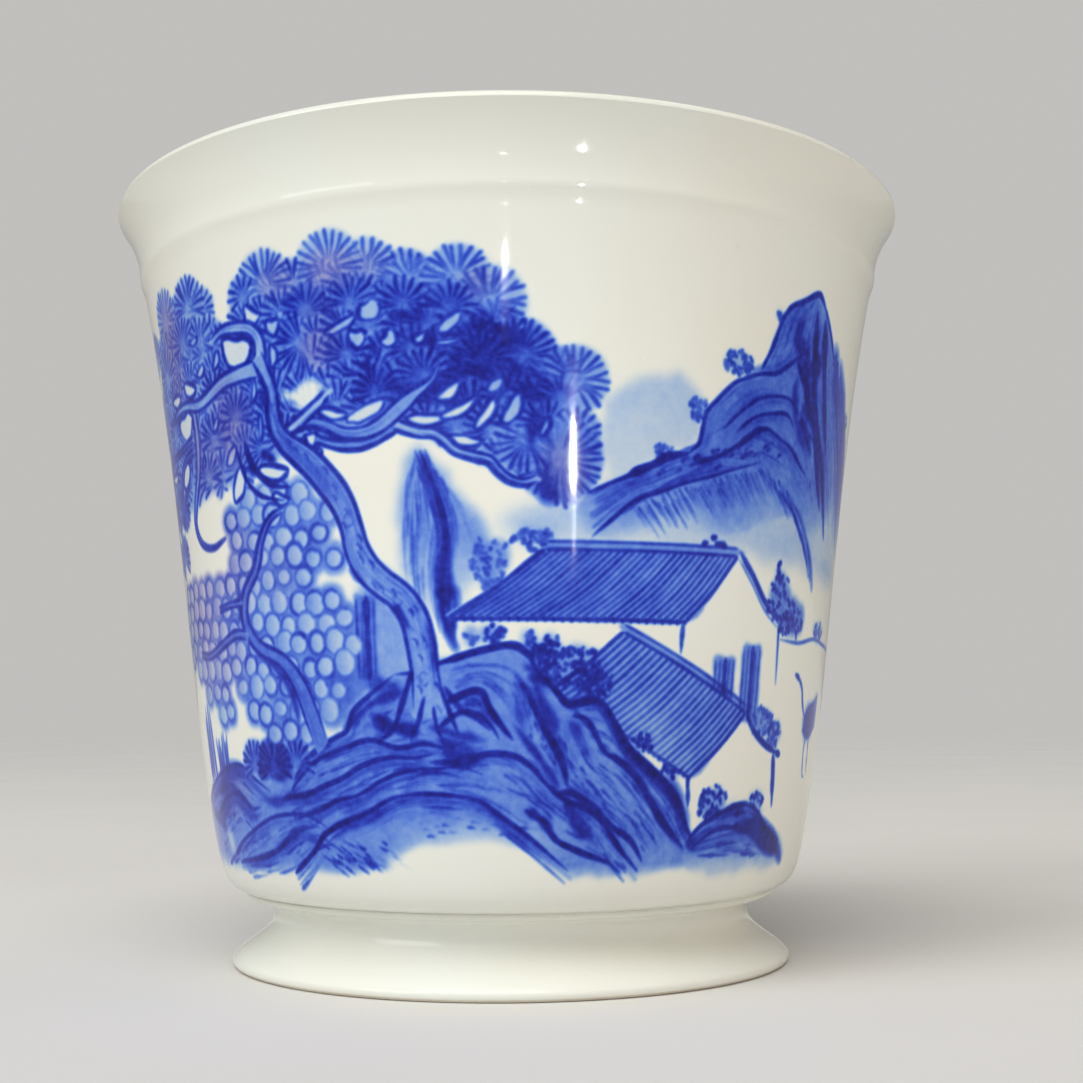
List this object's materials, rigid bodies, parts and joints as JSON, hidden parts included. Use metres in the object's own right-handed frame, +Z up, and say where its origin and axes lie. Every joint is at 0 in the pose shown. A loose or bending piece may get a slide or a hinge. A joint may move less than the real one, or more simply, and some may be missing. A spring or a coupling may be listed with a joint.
{
  "type": "teacup",
  "caption": "Flared porcelain teacup without a handle, on a low trumpet foot ring, with a blue painted landscape.",
  "frame": {"origin": "on the cup's axis, in the plane that the foot ring stands on", "axes": "+Z up along the cup's axis, towards the open rim; the painted front faces -Y"},
  "size_m": [0.079, 0.079, 0.0734],
  "materials": {
    "glazed_porcelain": "clear gloss glaze over white porcelain, with underglaze cobalt-blue painting outside",
    "glazed_slip": "clear gloss glaze, slightly green where it pools in the fillet",
    "foot_porcelain": "clear gloss glaze, with a dry unglazed ring where the cup stands"
  },
  "bodies": {
    "root": {"bowl": "glazed_porcelain", "slip_joint": "glazed_slip", "foot_ring": "foot_porcelain"}
  },
  "joints": []
}
